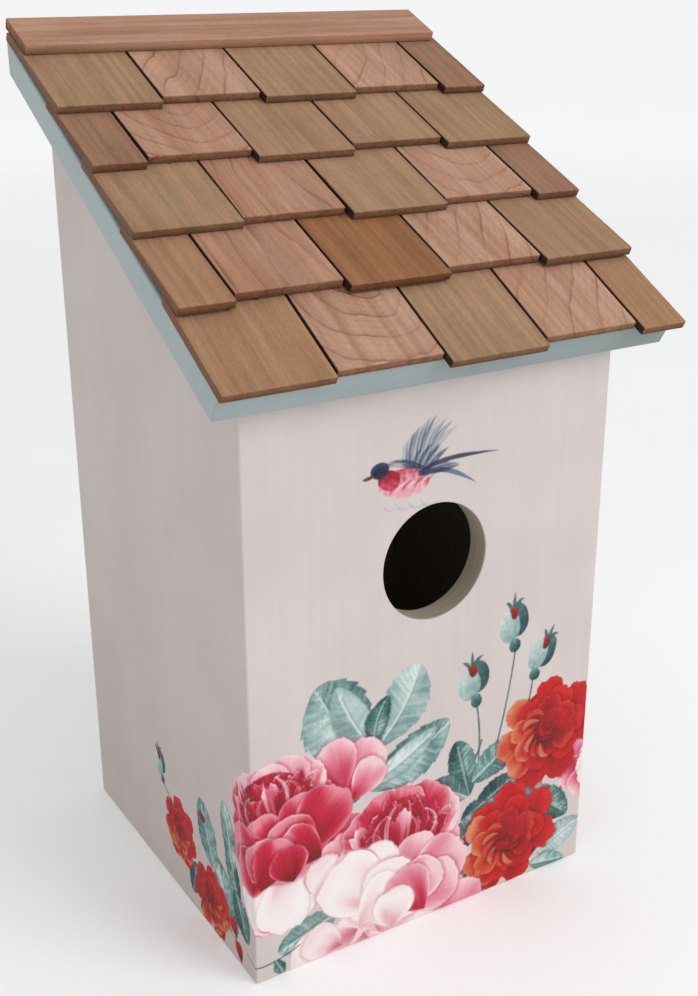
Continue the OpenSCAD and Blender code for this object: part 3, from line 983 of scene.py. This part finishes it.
class Picture:
    """Paint on the unfolded house, as a grid of colours and how far they cover the cream."""
    STEP = 0.15

    def __init__(self, left, right, top):
        self.left = left
        self.alpha = np.zeros((int(top / self.STEP), int((right - left) / self.STEP)))
        self.rgb = np.tile(np.array(PAPER) / 255, (*self.alpha.shape, 1))

    def window(self, u, z, reach):
        """Rows and columns round a point, and each pixel's place from it."""
        rows, columns = self.alpha.shape
        c0, c1 = (int(np.clip((u + d - self.left) / self.STEP, 0, columns)) for d in (-reach, reach))
        r0, r1 = (int(np.clip((z + d) / self.STEP, 0, rows)) for d in (-reach, reach))
        du = self.left + (np.arange(c0, c1) + 0.5) * self.STEP - u
        dz = (np.arange(r0, r1) + 0.5) * self.STEP - z
        x, y = np.meshgrid(du, dz)
        return (slice(r0, r1), slice(c0, c1)), x, y

    def lay(self, region, colour, cover):
        """Lays paint over what is there."""
        self.rgb[region] = blend(self.rgb[region], np.asarray(colour) / 255, cover[..., None])
        self.alpha[region] = blend(self.alpha[region], 1, cover)

    def shadow(self, region, colour, cover):
        """A dark veil, on paint only and not on the bare wall."""
        self.lay(region, colour, cover * (self.alpha[region] > 0.3))

    def petal(self, u, z, angle, length, spread, palette, seed, ruffle=0.07, lit=0.0, hair=1.0,
              line=None, line_cover=0.8):
        """A fan-shaped petal from its root at (u, z); angle and spread (half) in degrees. Its rim is
        ruffled and has a broken line along it, hair makes it streaky, and lit makes it paler."""
        region, x, y = self.window(u, z, length * 1.25)
        r = np.hypot(x, y)
        turn = (np.arctan2(y, x) - np.radians(angle) + np.pi) % (2 * np.pi) - np.pi
        phi = turn / np.radians(spread)
        share = np.abs(phi)
        rim = length * np.clip(1 - share ** 2.6, 0, 1) ** 0.5
        rim = rim * (1 + ruffle * (noise2(phi * 5, 0.5, seed) + 0.5 * noise2(phi * 14, 0.5, seed + 1)))
        veil = np.clip(1 - (r - rim) / 1.6, 0, 1) * (share < 1.12) * (r > 0.3 * length)
        self.shadow(region, np.array(palette[0]) * 0.85, 0.34 * veil)
        tone = (r / np.maximum(rim, 1e-3)) ** 1.3 + lit
        tone += hair * 0.085 * noise2(phi * 22, r / length * 1.6, seed + 2)
        tone += hair * 0.051 * noise2(phi * 60, r / length * 3, seed + 3)
        tone += 0.24 * noise2(phi * 2.2, r / length * 2.2, seed + 4)
        self.lay(region, shade(palette, np.clip(tone, 0, 1)), soft(rim - r) * (share < 1))
        edge = bell(rim - r - 0.35, 0.3) * (share < 0.97)
        edge *= np.clip(noise2(phi * 3, 0.5, seed + 5) + 0.35, 0, 1)
        self.lay(region, line or palette[3], line_cover * edge)

    def blob(self, u, z, wide, tall, turn, palette, seed, light=90.0):
        """A rounded daub, lighter on the side that light (degrees) comes from."""
        region, x, y = self.window(u, z, max(wide, tall) * 0.7)
        c, s = math.cos(math.radians(turn)), math.sin(math.radians(turn))
        p = (x * c + y * s) / (wide / 2)
        q = (-x * s + y * c) / (tall / 2)
        r = np.hypot(p, q) * (1 + 0.05 * noise2(np.arctan2(q, p) * 1.5, 0.5, seed))
        lean = x * math.cos(math.radians(light)) + y * math.sin(math.radians(light))
        tone = 0.45 + 0.84 * lean / max(wide, tall)
        tone += 0.16 * noise2(x * 0.9, y * 0.9, seed) + 0.1 * noise2(p * 3, q * 9, seed + 1)
        self.lay(region, shade(palette, np.clip(tone, 0, 1)), soft((1 - r) * min(wide, tall) / 2))

    def stroke(self, points, width, colour, cover=1.0, taper=(0.15, 0.15), hairs=0.0, seed=0):
        """A curved stroke through three points; taper is the width's share left at each end, and
        hairs is how far the brush's hairs part."""
        start, waist, end = np.array(points, float)
        t = np.linspace(0, 1, STROKE_PARTS + 1)[:, None]
        bend = 2 * waist - (start + end) / 2
        line = (1 - t) ** 2 * start + 2 * t * (1 - t) * bend + t ** 2 * end
        middle = (line.min(0) + line.max(0)) / 2
        region, x, y = self.window(*middle, np.max(line.max(0) - line.min(0)) / 2 + width)
        best = np.full(x.shape, 1e9)
        along, side = np.zeros(x.shape), np.zeros(x.shape)
        for i, (a, d) in enumerate(zip(line - middle, np.diff(line, axis=0))):
            t = np.clip(((x - a[0]) * d[0] + (y - a[1]) * d[1]) / max(d @ d, 1e-9), 0, 1)
            gap = np.hypot(x - a[0] - t * d[0], y - a[1] - t * d[1])
            nearer = gap < best
            best = np.where(nearer, gap, best)
            along = np.where(nearer, (i + t) / STROKE_PARTS, along)
            side = np.where(nearer, np.sign((x - a[0]) * d[1] - (y - a[1]) * d[0]), side)
        swell = taper[0] + (1 - taper[0]) * np.clip(along / 0.35, 0, 1) ** 0.7
        swell = np.minimum(swell, taper[1] + (1 - taper[1]) * np.clip((1 - along) / 0.35, 0, 1) ** 0.7)
        mask = soft(width / 2 * swell - best, 0.25)
        if hairs:
            comb = noise2(side * best * 8.8 / width, along * 3, seed)
            mask = mask * np.clip(1 - hairs * (0.5 + comb), 0, 1)
        self.lay(region, colour, cover * mask)

    def leaf(self, root, tip, width, palette, seed, bend=0.0, fullness=1.0, teeth=0.1):
        """A serrated leaf from root to tip, its rib bent sideways by bend (share of its length).
        With more fullness its widest place is nearer the tip."""
        root, tip = np.array(root, float), np.array(tip, float)
        length = float(np.linalg.norm(tip - root))
        ahead = (tip - root) / length
        dark, light = np.array(palette[0]), palette[3]
        region, x, y = self.window(*root, length + width)
        t = (x * ahead[0] + y * ahead[1]) / length
        across = -x * ahead[1] + y * ahead[0] - bend * length * 4 * t * (1 - t)
        inside = (t > 0) & (t < 1)
        t = np.clip(t, 0, 1)
        half = width / 2 * np.clip(np.sin(np.pi * t ** fullness), 0, 1) ** 0.6
        side = np.sign(across)
        off = np.abs(across)
        saw = ((t - 0.12 * off / max(width, 1)) * LEAF_TEETH + 0.35 * side) % 1.0
        half = half * (1 - teeth * saw) * (1 + 0.08 * noise2(t * 3, side * 7, seed))
        self.shadow(region, dark * 0.7, 0.25 * np.clip(1 - (off - half) / 1.0, 0, 1) * inside)
        share = off / np.maximum(half, 1e-3)
        vein = t * LEAF_TEETH * 0.7 - 0.6 * share + 0.25 * side
        tone = 0.5 + 0.17 * side * (seed % 2 * 2 - 1) - 0.25 * (share - 0.45)
        tone += 0.26 * noise2(vein * 7, share * 1.6 + side * 4, seed + 1)
        tone += 0.34 * noise2(x * 0.16, y * 0.16, seed + 2) + 0.12 * noise2(x * 1.6, y * 1.6, seed + 3)
        self.lay(region, shade(palette, np.clip(tone, 0, 1)), soft(half - off) * inside)
        self.lay(region, light, 0.85 * bell(across, 0.4) * inside * (t < 0.9) * (half > 0.2))
        self.lay(region, dark, 0.5 * bell(across + 0.75, 0.35) * inside * (t < 0.85) * (half > 0.9))
        self.lay(region, light, 0.28 * bell(vein % 1.0 - 0.93, 0.045) * (share < 0.8) * inside)
        broken = np.clip(noise2(t * 4, side * 3, seed + 3) + 0.4, 0, 1)
        self.lay(region, dark, 0.55 * bell(half - off, 0.35) * inside * broken)

    def sample(self, u, z):
        """Linear colour and cover at places on the unfolded house, smoothed between pixels."""
        rows, columns = self.alpha.shape
        fx = np.clip((u - self.left) / self.STEP - 0.5, 0, columns - 1.001)
        fy = np.clip(z / self.STEP - 0.5, 0, rows - 1.001)
        ix, iy = fx.astype(int), fy.astype(int)
        full = np.concatenate([self.rgb, self.alpha[..., None]], -1)
        low, high = (blend(full[row, ix], full[row, ix + 1], (fx - ix)[:, None]) for row in (iy, iy + 1))
        out = blend(low, high, (fy - iy)[:, None])
        linear = ((out[:, :3] + 0.055) / 1.055) ** 2.4
        out[:, :3] = np.clip(linear * 0.93 - 0.015, 0, 1)
        return out

    def detail(self):
        """Places (u, z) that follow the picture: the closer together, the more it changes there."""
        shown = blend(np.array(PAPER) / 255, self.rgb, self.alpha[..., None])
        found = []
        for block, limit, margin in DETAIL_LEVELS:
            rows, columns = (n // block for n in self.alpha.shape)
            cells = shown[:rows * block, :columns * block].reshape(rows, block, columns, block, 3)
            busy = (cells.max((1, 3)) - cells.min((1, 3))).max(-1) > limit
            if margin:
                padded = np.pad(busy, 1)
                busy = np.any([padded[1 + a:1 + a + rows, 1 + b:1 + b + columns]
                               for a in (-1, 0, 1) for b in (-1, 0, 1)], axis=0)
            r, c = np.nonzero(busy)
            half = block * self.STEP / 2
            for du, dz in ((0.5, 0.5), (1.5, 0.5), (0.5, 1.5), (1.5, 1.5)):
                found.append(np.column_stack([self.left + (2 * c + du) * half, (2 * r + dz) * half]))
        return np.concatenate(found)


def ring(picture, u, z, count, turn, length, away, spread, palette, seed, sweep=360.0, squash=1.0,
         **looks):
    """Petals side by side round a middle, over a sweep of degrees that starts at turn."""
    for i in range(count):
        jitter = lattice(np.array([i, i + 50]), np.array([seed, seed]), 7)
        angle = turn + sweep * (i + 0.5) / count + 9 * jitter[0]
        a = math.radians(angle)
        root = (u + away * math.cos(a), z + away * math.sin(a) * squash)
        picture.petal(*root, angle, length * (1 + 0.1 * jitter[1]), spread, palette, seed * 31 + i,
                      lit=0.1 * math.sin(a + 0.9), **looks)


def cabbage_rose(picture, u, z, size, flip, back, left, right, seed, tilt):
    """A full, cupped rose seen a little from the side: petals behind, a heart of folded petals, and
    wide petals that rise from its foot and wrap round it. flip is 1 or -1 (mirrored)."""
    lean = math.radians(tilt)

    def at(p, q):
        p, q = p * math.cos(lean) - q * math.sin(lean), p * math.sin(lean) + q * math.cos(lean)
        return u + flip * p * size, z + q * size

    def wrap(parts, **looks):
        for k, (p, q, angle, length, spread, palette) in enumerate(parts):
            way = angle + tilt
            line = CRIMSON[1] if palette in (MILK, BLUSH) else WHITE_PINK
            picture.petal(*at(p, q), way if flip > 0 else 180 - way, length * size, spread, palette,
                          seed + len(parts) * 10 + k, line=line, **looks)

    wrap([(0, -0.25, 226, 0.92, 56, left), (0, -0.25, 314, 0.92, 56, right),
          (0, -0.2, 270, 0.95, 56, left), (0, -0.2, 8, 1.0, 50, right),
          (0, -0.2, 168, 0.98, 50, left), (0.05, -0.1, 44, 1.02, 46, right),
          (-0.05, -0.1, 134, 0.98, 46, back), (0.05, -0.05, 66, 0.98, 42, back),
          (-0.05, -0.05, 112, 0.96, 42, back), (0, 0.0, 90, 0.88, 42, back)],
         ruffle=0.05, hair=0.7, line_cover=0.6)
    picture.blob(*at(0.03, 0.3), 1.02 * size, 0.86 * size, 8 * flip, WINE, seed, light=60)
    folds = ((6, 1.06, 34, -0.4), (5, 0.92, 30, -0.38), (4, 0.74, 25, -0.34))
    for row, (count, length, fan, foot) in enumerate(folds):
        parts = []
        for k in range(count):
            share = 2 * k / (count - 1) - 1
            palette = ROSE_PINK if (2 * k + row) % 5 == 0 else WINE
            parts.append((0.03 + 0.2 * share, foot, 90 - fan * share, length * (1 - 0.1 * abs(share)), 17,
                          palette))
        wrap(parts, ruffle=0.08, hair=1.1, lit=-0.24, line_cover=0.85)
    strokes = ((-0.36, 0.5, 0.16), (-0.2, 0.62, 0.1), (0.1, 0.66, -0.04), (0.22, 0.4, -0.08),
               (0.46, 0.5, -0.16))
    for k, (p, reach, bow) in enumerate(strokes):
        path = [at(p * 0.6, -0.1), at(p * 1.15, reach * 0.5), at(p * 0.9 + bow * 0.6, reach)]
        picture.stroke(path, (0.045 + 0.02 * (k % 2)) * size, WHITE_PINK if k % 3 else ROSE_PINK[2],
                       0.7, (0.1, 0.25), 0.5, seed + 40 + k)
    wrap([(0.1, -0.75, 70, 0.92, 44, right), (-0.12, -0.75, 112, 0.95, 44, left),
          (0.1, -0.8, 34, 1.12, 42, right), (-0.1, -0.85, 140, 1.22, 44, left),
          (0.05, -0.85, 12, 0.98, 44, right), (0, -0.95, 104, 0.86, 52, left),
          (0.12, -0.95, 52, 0.8, 50, right)], ruffle=0.035, hair=0.5, line_cover=0.7)
    wrap([(-0.5, -1.06, 50, 0.86, 48, left), (0.52, -1.06, 128, 0.84, 48, right),
          (0.02, -1.2, 91, 0.62, 60, left)], ruffle=0.035, hair=0.5, line_cover=0.7)


def curled_heart(picture, u, z, wide, tall, seed):
    """The heart of a red rose: a dark cup with curled strokes that follow its rim."""
    turn, count = 20, 11
    picture.blob(u, z, wide, tall, turn, EMBER, seed, light=60)
    c, s = math.cos(math.radians(turn)), math.sin(math.radians(turn))
    for i in range(count):
        rand = lattice(np.arange(4) + 10 * i, np.full(4, seed), 11)
        level = 0.25 + 0.68 * (i + 1) / count
        points = []
        for d in (-1, 0, 1):
            a = math.radians(200 * rand[0] + 90 + d * (34 + 22 * rand[1]))
            p, q = wide / 2 * level * math.cos(a), tall / 2 * level * math.sin(a)
            points.append((u + p * c - q * s, z + p * s + q * c))
        colour = (EMBER[2], SCARLET[2], SCARLET[3])[i % 3]
        picture.stroke(points, (0.09 + 0.05 * rand[2]) * tall, colour, 0.8, (0.1, 0.1), 0.45, seed + i)


def ruffled_rose(picture, u, z, size, seed, sun=170.0, squash=1.0):
    """A red rose with a ruffled rim, orange on the side of the sun (degrees), ochre strokes within."""
    picture.blob(u, z, 1.5 * size, 1.5 * size * squash, 0, EMBER, seed)
    rings = ((7, 12, 0.68, 0.32, 50, SCARLET, 360, 0.07),
             (3, sun - 60, 0.66, 0.33, 44, ORANGE, 120, 0.06),
             (6, 40, 0.6, 0.18, 52, SCARLET, 360, 0.07),
             (2, sun - 42, 0.56, 0.2, 44, ORANGE, 84, 0.07),
             (6, 0, 0.5, 0.08, 54, EMBER, 360, 0.08))
    for k, (count, turn, length, away, spread, palette, sweep, ruffle) in enumerate(rings):
        ring(picture, u, z, count, turn, length * size, away * size, spread, palette, seed + k,
             sweep=sweep, squash=squash, ruffle=ruffle, line_cover=0.8 if k else 0.5)
    curled_heart(picture, u + 0.06 * size, z + 0.04 * size, 0.74 * size, 0.66 * size * squash, seed)
    for k in range(6):
        a = math.radians(sun - 75 + 26 * k)
        b = a + 0.55
        points = [(u + size * r * math.cos(w), z + size * squash * r * math.sin(w))
                  for r, w in ((0.28, a), (0.46, (a + b) / 2), (0.52, b))]
        colour = OCHRE if k % 2 else ORANGE[2]
        picture.stroke(points, 0.09 * size, colour, 0.8, (0.1, 0.1), 0.4, seed + 60 + k)


def leaves(picture, *rows):
    """Several leaves, each as picture.leaf() takes it."""
    for row in rows:
        picture.leaf(*row)


def bud(picture, tip, base, width, stem, seed):
    """A closed two-lobed bud with a touch of red, curled sepal tips, a round hip and a stem."""
    tip, base = np.array(tip, float), np.array(base, float)
    ahead = tip - base
    length = float(np.linalg.norm(ahead))
    side = np.array([ahead[1], -ahead[0]]) / length
    turn = math.degrees(math.atan2(ahead[1], ahead[0]))
    body = base + ahead * 0.55
    picture.stroke([base, (base + np.array(stem)) / 2 + side * 1.0, stem], 0.9, DEEP_TEAL[1],
                   taper=(0.9, 0.5), hairs=0.2, seed=seed)
    lobe = body + side * width * 0.16
    picture.blob(*lobe, length * 0.62, width * 0.7, turn, DEEP_TEAL, seed, light=turn + 60)
    lobe = body - side * width * 0.15 - ahead * 0.08
    picture.blob(*lobe, length * 0.6, width * 0.72, turn, MIST, seed + 1, light=turn + 40)
    for out, far in ((-0.16, 0.93), (0.06, 1.06), (0.26, 0.9)):
        aside = side * out * width
        sepal = [body + aside * 0.4 + ahead * 0.2, base + ahead * 0.86 + aside * 0.7,
                 base + ahead * far + aside * 1.5]
        picture.stroke(sepal, 1.5, DEEP_TEAL[1], 0.95, (0.9, 0.15))
    red = body + ahead * 0.14 + side * width * 0.03
    picture.blob(*red, length * 0.22, width * 0.24, turn, EMBER, seed + 2)
    hip = base + ahead * 0.1
    picture.blob(*hip, length * 0.24, width * 0.42, turn + 90, DEEP_TEAL, seed + 3, light=120)


def feather(picture, root, tip, bow, width, colour, cover, taper, hairs, seed):
    """A stroke from root to tip whose middle is moved by bow."""
    middle = ((root[0] + tip[0]) / 2 + bow[0], (root[1] + tip[1]) / 2 + bow[1])
    picture.stroke([root, middle, tip], width, colour, cover, taper, hairs, seed)


def bird(picture):
    """A small songbird in flight above the hole, of a generic kind."""
    for k in range(10):
        root = (-11 + 0.9 * k, 162.5 + 0.15 * k)
        tip = (-10.5 + 1.95 * k, 172.5 + 6 * math.sin(0.32 * k))
        colour = (GREY_BLUE, SLATE, NAVY)[k % 3]
        feather(picture, root, tip, (-1.3, 0.9), 2.0, colour, 0.85, (0.7, 0.05), 0.45, k)
    for k in range(8):
        root = (-9.5 + 0.8 * k, 161.6)
        tip = (-8 + 1.7 * k, 168.3 + 1.4 * math.sin(0.5 * k))
        colour = NAVY if k % 2 else GREY_BLUE
        feather(picture, root, tip, (-0.4, 0.4), 1.7, colour, 0.85, (0.6, 0.1), 0.35, 20 + k)
    picture.blob(-12, 159.4, 18.5, 9.2, -6, BREAST, 5)
    picture.blob(-17.3, 161.2, 8, 6.4, -20, THROAT, 6)
    for k in range(7):
        u, z = -17 + k * 2.2, 156.6 + 0.2 * k
        colour = (246, 224, 226) if k % 2 else (168, 48, 70)
        path = [(u, z), (u + 1.2, z + 1.6), (u + 3.0, z + 2.4)]
        picture.stroke(path, 0.8, colour, 0.7, (0.3, 0.2), 0.3, 40 + k)
    picture.blob(-20.6, 164.8, 6.6, 5.2, 10, (NAVY, (34, 42, 66), (58, 70, 98), (96, 110, 134)), 8)
    picture.blob(-22.3, 164.0, 1.2, 1.0, 0, EYE, 9)
    # Beak, back, the two points of the tail and the rump
    picture.stroke([(-23, 163.5), (-24.8, 163.0), (-26.6, 163.0)], 1.3, (96, 62, 60), 1.0, (0.9, 0.05))
    picture.stroke([(-18, 166.0), (-12, 165.4), (-4, 162.4)], 2.4, NAVY, 0.9, (0.6, 0.3), 0.4, 4)
    picture.stroke([(-5, 161.8), (4, 164.1), (23, 163.4)], 1.6, NAVY, 0.95, (0.9, 0.05))
    picture.stroke([(-5, 161), (4, 160.3), (14.5, 154.5)], 1.7, SLATE, 0.95, (0.9, 0.05))
    picture.stroke([(-6, 161.5), (1, 161.8), (8, 161.6)], 3.0, NAVY, 0.9, (0.7, 0.15), 0.3, 6)
    for k in range(4):
        u = -20 + 4.5 * k
        picture.stroke([(u, 154.4), (u + 3, 151.6 - 0.4 * k), (u + 8, 152.2)], 0.9, GREY_BLUE, 0.75,
                       (0.3, 0.1), 0.3, 50 + k)


def paint_middle(picture):
    """Leaves, small stems and buds between and above the roses."""
    leaves(picture, ((-22, 72), (-43, 100), 26, TEAL, 1, 0.07, 1.3),
           ((-22, 72), (-36, 98), 14, MIST, 36, 0.04, 1.0, 0.05),
           ((-22, 72), (-5, 98), 19, MIST, 3, -0.08, 1.3),
           ((-22, 73), (-17, 90), 9, DEEP_TEAL, 2, 0.1),
           ((-25, 58), (7, 74), 17, TEAL, 4, -0.06, 1.15),
           ((-24, 60), (2, 73), 9, MIST, 37, -0.05, 1.0, 0.05),
           ((-30, 55), (-24, 72), 9, DEEP_TEAL, 5))
    picture.stroke([(10, 40), (19, 58), (20, 62)], 1.0, DEEP_TEAL[1], taper=(0.9, 0.7), hairs=0.3)
    bud(picture, (14.5, 95), (18, 76), 13, (19, 50), 1)
    bud(picture, (31, 112), (33, 92), 12, (24, 48), 2)
    bud(picture, (48, 97), (41, 79), 11, (36, 62), 3)
    leaves(picture, ((16, 42), (10, 65), 12, DEEP_TEAL, 6, 0.0, 1.15),
           ((17, 47), (34, 58), 13, TEAL, 7, 0.0, 1.15),
           ((19, 36), (36, 44), 12, DEEP_TEAL, 8), ((15, 42), (0, 52), 11, TEAL, 9, 0.0, 1.1),
           ((13, 33), (24, 38), 8, DEEP_TEAL, 10), ((10, 22), (22, 34), 12, DEEP_TEAL, 13),
           ((16, 12), (2, 2), 11, TEAL, 14))


def paint_right(picture):
    """The two red roses at the right of the front and what lies round them."""
    ring(picture, 72, 40, 5, 100, 14, 3, 50, ROSE_PINK, 70, sweep=200, ruffle=0.05)
    ring(picture, 74, 38, 4, 110, 9, 2, 50, BLUSH, 71, sweep=180)
    leaves(picture, ((40, 36), (60, 20), 14, DEEP_TEAL, 11), ((46, 8), (66, 16), 12, MIST, 12),
           ((44, 4), (60, 1), 8, TEAL, 59), ((34, 42), (48, 34), 10, TEAL, 15),
           ((18, 4), (30, -4), 10, MIST, 58))
    ruffled_rose(picture, 49, 58, 21, 22, sun=185)
    ruffled_rose(picture, 34, 19, 21, 23, sun=195)


def paint_left(picture):
    """The big roses of the front's left half, which run on round the corner, and the side's flowers."""
    for k, (u, z, angle, length) in enumerate(((-30, 56, 72, 22), (-34, 60, 100, 20), (-30, 56, 52, 16))):
        picture.petal(u, z, angle, length, 44, ROSE_PINK, 80 + k, ruffle=0.04, hair=0.6)
    picture.leaf((-36, 16), (-58, 9), 13, TEAL, 15)
    picture.petal(-40, 22, 62, 32, 40, CRIMSON, 83, ruffle=0.04, hair=0.6)
    picture.petal(-18, -14, 100, 34, 50, BLUSH, 84, ruffle=0.04, hair=0.5)
    picture.petal(0, -16, 84, 32, 50, BLUSH, 85, ruffle=0.04, hair=0.5)
    picture.petal(8, -16, 74, 26, 44, ROSE_PINK, 86, ruffle=0.04, hair=0.5)
    milky = ((-50, 40, 212, 26), (-54, 42, 325, 20), (-52, 42, 238, 27), (-56, 42, 292, 24),
             (-54, 42, 264, 26))
    for k, (u, z, angle, length) in enumerate(milky):
        picture.petal(u, z, angle, length, 42, MILK, 90 + k, ruffle=0.03, hair=0.4, line=CRIMSON[2],
                      line_cover=0.7)
    cabbage_rose(picture, -57, 60, 22, -1, ROSE_PINK, CRIMSON, CRIMSON, 26, tilt=-12)
    picture.petal(-36, 20, 78, 26, 40, ROSE_PINK, 95, ruffle=0.04, hair=0.6)
    picture.petal(-36, 20, 110, 20, 40, BLUSH, 98, ruffle=0.04, hair=0.6, line=CRIMSON[2])
    blushing = ((-28, 6, 196, 26), (-22, 8, 330, 26), (-34, 2, 150, 16), (-24, 4, 250, 18),
                (-26, 4, 290, 18))
    for k, (u, z, angle, length) in enumerate(blushing):
        picture.petal(u, z, angle, length, 50, BLUSH, 101 + k, ruffle=0.03, hair=0.5)
    cabbage_rose(picture, -12, 32, 26, 1, CRIMSON, MILK, ROSE_PINK, 27, tilt=-6)
    picture.stroke([(-72, 8), (-62, 6), (-50, 9)], 0.7, DEEP_TEAL[1], taper=(0.6, 0.4))
    leaves(picture, ((-59, 6.5), (-56, 0.5), 4.5, DEEP_TEAL, 16), ((-76, 24), (-84, 44), 9, DEEP_TEAL, 21),
           ((-80, 34), (-85, 58), 10, TEAL, 18), ((-80, 8), (-92, 33), 16, TEAL, 17),
           ((-79, 28), (-71, 12), 10, DEEP_TEAL, 19), ((-94, 26), (-103, 49), 14, TEAL, 20))
    picture.blob(-102, 42, 3, 5, 80, EMBER, 33)
    picture.leaf((-112, 6), (-108, 20), 9, DEEP_TEAL, 24)
    ruffled_rose(picture, -120, 26, 13.5, 28, sun=270, squash=0.85)
    ruffled_rose(picture, -97, 13, 14, 29, sun=290, squash=0.85)
    picture.petal(-79, 9, 120, 7, 40, SCARLET, 34)
    picture.petal(-76, 1, 110, 8, 36, EMBER, 35)
    bud(picture, (-137, 52), (-133, 38), 9, (-126, 32), 4)


def paint_round(picture):
    """A sparse echo of the flowers on the right side, which carries the band on."""
    leaves(picture, ((88, 22), (76, 40), 12, TEAL, 51), ((92, 20), (104, 40), 13, MIST, 52),
           ((112, 14), (128, 26), 11, DEEP_TEAL, 53))
    bud(picture, (121, 60), (117, 42), 11, (108, 24), 6)
    ruffled_rose(picture, 92, 17, 17, 54, sun=150)
    ruffled_rose(picture, 118, 12, 13, 55, sun=120)


def paint_flowers():
    """The whole decoration: a band of roses low on the house, buds, leaves and a bird."""
    picture = Picture(-200, 200, 200)
    for part in (paint_middle, paint_right, paint_left, paint_round, bird):
        part(picture)
    return picture


# ---------------------------------------------------------------- the whole scene
picture = paint_flowers()
cream = cream_paint()
make_front(cream, picture)
make_sides(cream, picture)
make_back(cream, picture)
make_roof_board()
make_shingles()
make_cap()
dress_cad()
make_room()
make_camera()
